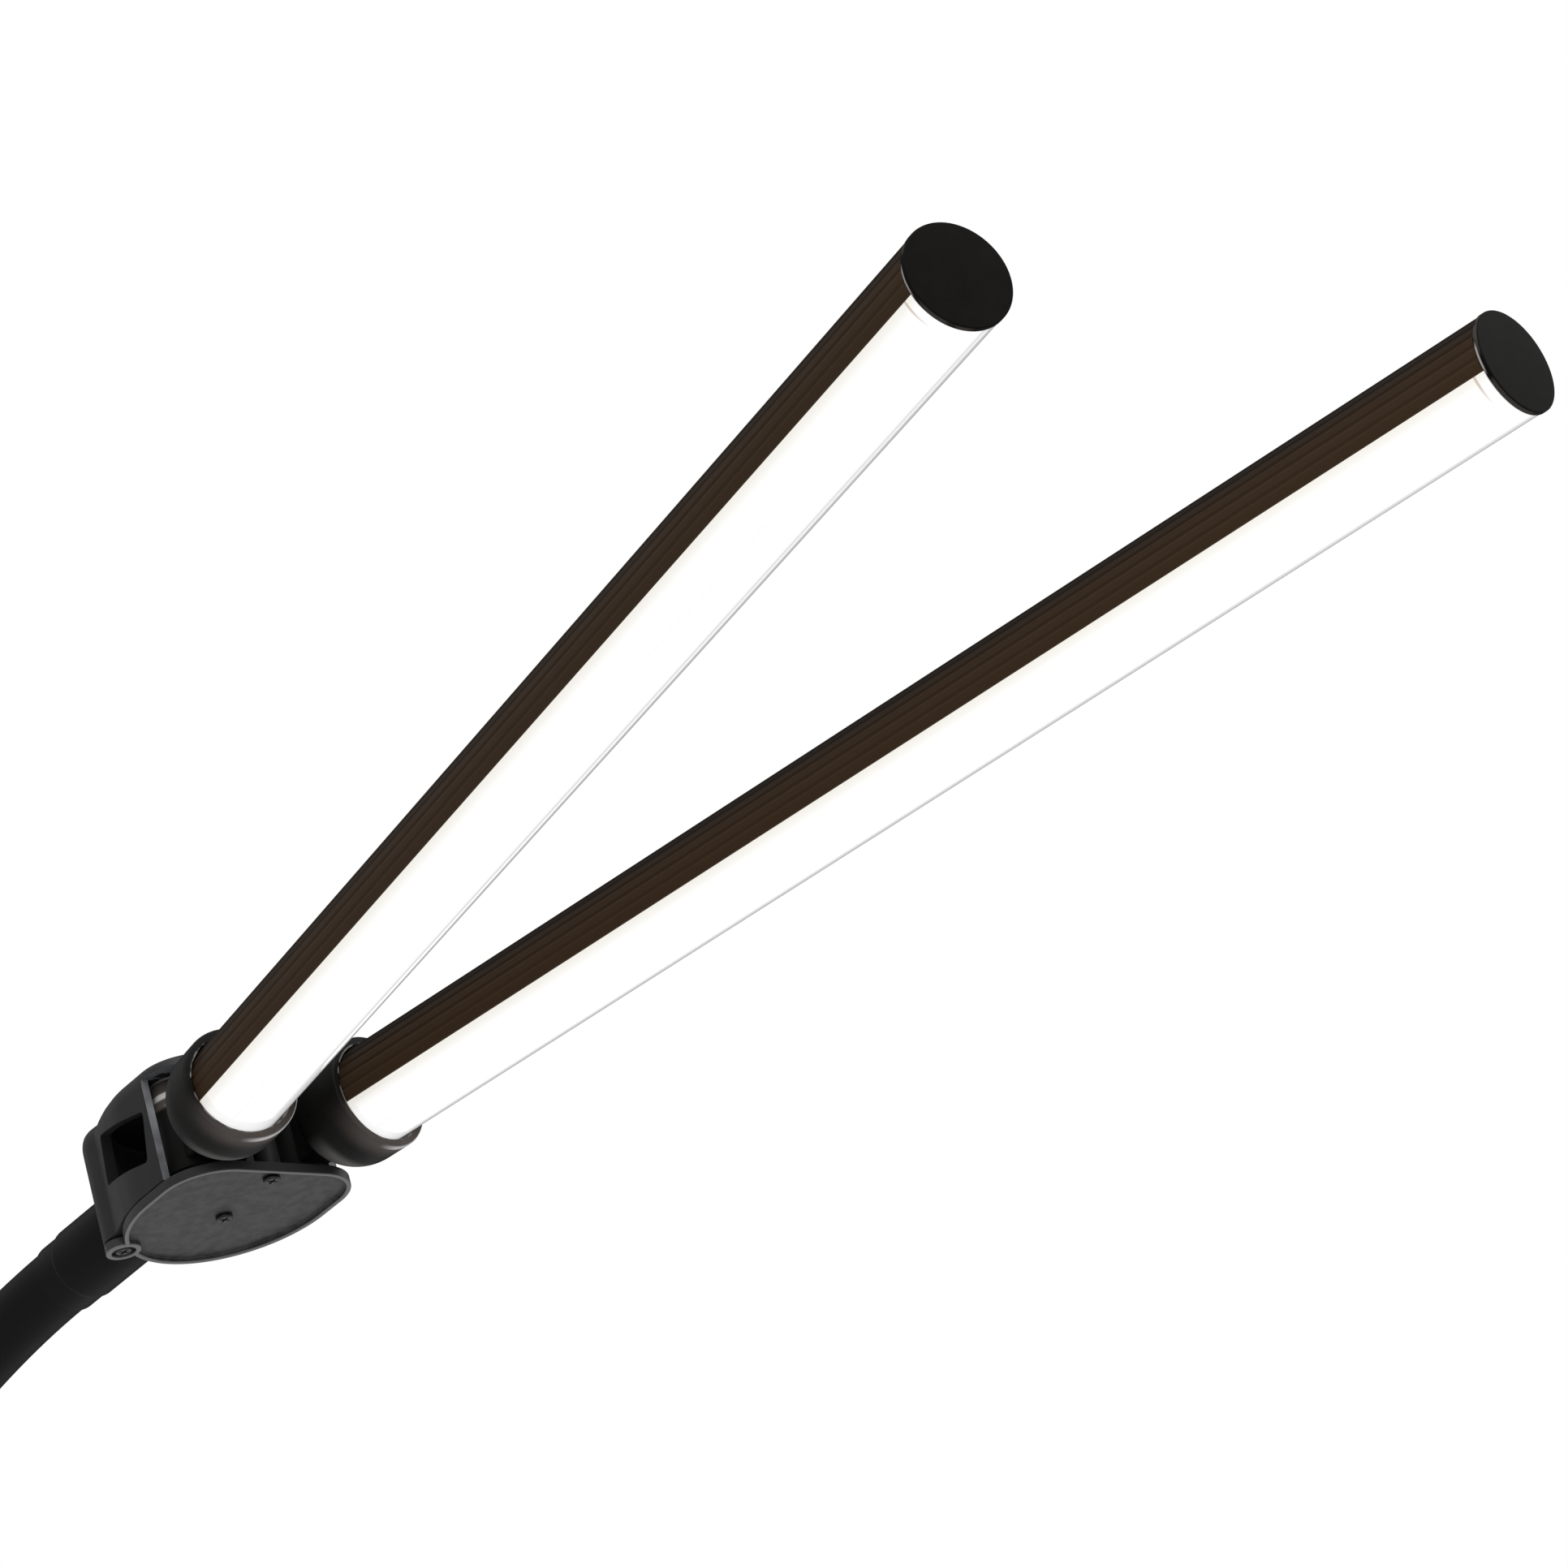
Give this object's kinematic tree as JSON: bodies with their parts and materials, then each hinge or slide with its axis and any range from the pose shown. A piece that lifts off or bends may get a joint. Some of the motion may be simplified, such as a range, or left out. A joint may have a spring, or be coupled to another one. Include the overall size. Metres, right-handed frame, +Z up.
{
  "type": "floor lamp",
  "caption": "Floor lamp with two swinging light bars on a hinge block, carried by a gooseneck on a sectional pole and a round weighted base.",
  "frame": {"origin": "centre of the base pad's flat underside, on the pole's axis", "axes": "+Z up along the pole, +X towards the head and the light bars, +Y to the lamp's left"},
  "size_m": [0.855, 0.28, 1.6126],
  "materials": {
    "base_paint": "satin black powder coat",
    "cast_iron": "raw casting, sealed",
    "pad_rubber": "matt foam rubber",
    "dark_zinc": "black zinc plating",
    "control_black": "fine moulded texture",
    "button_grey": "satin",
    "board_green": "circuit board with solder mask",
    "lead_black": "matt sheath",
    "neck_black": "matt black wound steel arm",
    "sleeve_black": "matt, slightly mottled",
    "block_black": "satin moulding",
    "plate_grey": "grey satin, brighter along its rim",
    "housing_black": "black anodised extrusion with fine lengthwise lines",
    "opal": "opal, lit from inside",
    "board_white": "white circuit board with light chips",
    "cap_black": "fine moulded texture",
    "bright_steel": "ground pin",
    "nylon": "natural"
  },
  "bodies": {
    "stand": {"base_cover": "base_paint", "base_nut": "dark_zinc", "base_pad": "pad_rubber", "base_washer": "dark_zinc", "base_weight": "cast_iron", "control_back": "control_black", "control_board": "board_green", "control_front": "control_black", "control_screw_left": "dark_zinc", "control_screw_right": "dark_zinc", "neck_ferrule": "base_paint", "neck_foot": "neck_black", "pole_foot": "dark_zinc", "pole_joiner_lower": "dark_zinc", "pole_joiner_upper": "dark_zinc", "pole_lead": "lead_black", "pole_lower": "base_paint", "pole_middle": "base_paint", "pole_socket": "base_paint", "pole_upper": "base_paint", "power_inlet": "control_black"},
    "neck_1": {"neck_link_1": "neck_black"},
    "neck_2": {"neck_link_2": "neck_black"},
    "neck_3": {"neck_link_3": "neck_black"},
    "neck_4": {"neck_link_4": "neck_black"},
    "neck_5": {"neck_link_5": "neck_black"},
    "neck_6": {"neck_link_6": "neck_black"},
    "neck_7": {"neck_link_7": "neck_black"},
    "head": {"neck_head": "neck_black", "neck_sleeve": "sleeve_black", "neck_nut": "dark_zinc", "hinge_block": "block_black", "cover_plate": "plate_grey", "cover_screw_front": "dark_zinc", "cover_screw_middle": "dark_zinc", "cover_screw_ear": "dark_zinc", "left_pivot_pin": "bright_steel", "left_lower_washer": "nylon", "left_upper_washer": "nylon", "right_pivot_pin": "bright_steel", "right_lower_washer": "nylon", "right_upper_washer": "nylon"},
    "right_bar": {"right_collar": "block_black", "right_bar_housing": "housing_black", "right_diffuser": "opal", "right_light_board": "board_white", "right_end_cap": "cap_black"},
    "left_bar": {"left_collar": "block_black", "left_bar_housing": "housing_black", "left_diffuser": "opal", "left_light_board": "board_white", "left_end_cap": "cap_black"},
    "button": {"power_button": "button_grey"}
  },
  "joints": [
    {"name": "neck_bend_1", "type": "hinge", "parent": "stand", "child": "neck_1", "pos_m": [0.001, 0, 1.04445], "axis": [0, 1, 0], "range_deg": [-16.2, 15]},
    {"name": "neck_side_1", "type": "hinge", "parent": "neck_1", "child": "neck_2", "pos_m": [0.00896, 0, 1.10039], "axis": [0.9776, 0, -0.2105], "range_deg": [-12, 12]},
    {"name": "neck_bend_2", "type": "hinge", "parent": "neck_2", "child": "neck_3", "pos_m": [0.02472, 0, 1.15465], "axis": [0, 1, 0], "range_deg": [-16.2, 15]},
    {"name": "neck_side_2", "type": "hinge", "parent": "neck_3", "child": "neck_4", "pos_m": [0.04797, 0, 1.20614], "axis": [0.8801, 0, -0.4749], "range_deg": [-12, 12]},
    {"name": "neck_bend_3", "type": "hinge", "parent": "neck_4", "child": "neck_5", "pos_m": [0.07825, 0, 1.25385], "axis": [0, 1, 0], "range_deg": [-16.2, 15]},
    {"name": "neck_side_3", "type": "hinge", "parent": "neck_5", "child": "neck_6", "pos_m": [0.11495, 0, 1.29681], "axis": [0.7126, 0, -0.7015], "range_deg": [-12, 12]},
    {"name": "neck_bend_4", "type": "hinge", "parent": "neck_6", "child": "neck_7", "pos_m": [0.15733, 0, 1.33418], "axis": [0, 1, 0], "range_deg": [-16.2, 15]},
    {"name": "neck_side_4", "type": "hinge", "parent": "neck_7", "child": "head", "pos_m": [0.20455, 0, 1.3652], "axis": [0.4886, 0, -0.8725], "range_deg": [-12, 12]},
    {"name": "right_bar_swing", "type": "hinge", "parent": "head", "child": "right_bar", "pos_m": [0.31191, -0.01684, 1.41395], "axis": [0.4258, 0, -0.9048], "range_deg": [-8.5, 38]},
    {"name": "left_bar_swing", "type": "hinge", "parent": "head", "child": "left_bar", "pos_m": [0.31191, 0.01684, 1.41395], "axis": [-0.4258, 0, 0.9048], "range_deg": [-8.5, 38]},
    {"name": "power_button_press", "type": "slide", "parent": "stand", "child": "button", "axis": [-1, 0, 0], "range_m": [0, 0.0015], "stiffness_N_per_m": 800}
  ],
  "couplings": [
    {"joint": "neck_bend_2", "follows": "neck_bend_1", "ratio": 1},
    {"joint": "neck_side_2", "follows": "neck_side_1", "ratio": 1},
    {"joint": "neck_bend_3", "follows": "neck_bend_1", "ratio": 1},
    {"joint": "neck_side_3", "follows": "neck_side_1", "ratio": 1},
    {"joint": "neck_bend_4", "follows": "neck_bend_1", "ratio": 1},
    {"joint": "neck_side_4", "follows": "neck_side_1", "ratio": 1}
  ]
}
